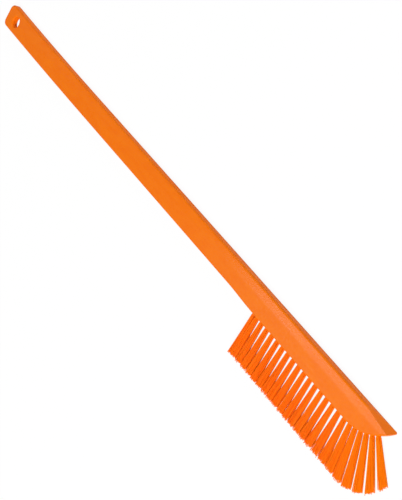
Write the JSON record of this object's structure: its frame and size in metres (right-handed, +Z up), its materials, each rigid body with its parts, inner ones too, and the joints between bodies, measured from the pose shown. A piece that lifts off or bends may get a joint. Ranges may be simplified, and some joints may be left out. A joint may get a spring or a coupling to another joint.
{
  "type": "ultra-slim cleaning brush",
  "caption": "Long flat one-piece handle and brush block with a hanging hole, a row of bristle tufts along its edge, and a bevelled nose that they fan out round.",
  "frame": {"origin": "under the middle of the brush's outline, on the flat side that it lies on", "axes": "+X along the brush from the hanging end to the nose, +Y from the bristle tips to the back edge, +Z up through the thickness to the bevelled side"},
  "size_m": [0.6004, 0.0576, 0.006],
  "materials": {
    "body_plastic": "satin injection-moulded polypropylene, orange",
    "filament": "extruded polyester filament, orange",
    "anchor_wire": "drawn flat stainless wire"
  },
  "bodies": {
    "root": {"handle_and_block": "body_plastic", "tuft_01": "filament", "tuft_02": "filament", "tuft_03": "filament", "tuft_04": "filament", "tuft_05": "filament", "tuft_06": "filament", "tuft_07": "filament", "tuft_08": "filament", "tuft_09": "filament", "tuft_10": "filament", "tuft_11": "filament", "tuft_12": "filament", "tuft_13": "filament", "tuft_14": "filament", "tuft_15": "filament", "tuft_16": "filament", "tuft_17": "filament", "tuft_18": "filament", "tuft_19": "filament", "tuft_20": "filament", "tuft_21": "filament", "tuft_22": "filament", "tuft_23": "filament", "tuft_24": "filament", "anchor_01": "anchor_wire", "anchor_02": "anchor_wire", "anchor_03": "anchor_wire", "anchor_04": "anchor_wire", "anchor_05": "anchor_wire", "anchor_06": "anchor_wire", "anchor_07": "anchor_wire", "anchor_08": "anchor_wire", "anchor_09": "anchor_wire", "anchor_10": "anchor_wire", "anchor_11": "anchor_wire", "anchor_12": "anchor_wire", "anchor_13": "anchor_wire", "anchor_14": "anchor_wire", "anchor_15": "anchor_wire", "anchor_16": "anchor_wire", "anchor_17": "anchor_wire", "anchor_18": "anchor_wire", "anchor_19": "anchor_wire", "anchor_20": "anchor_wire", "anchor_21": "anchor_wire", "anchor_22": "anchor_wire", "anchor_23": "anchor_wire", "anchor_24": "anchor_wire"}
  },
  "joints": []
}
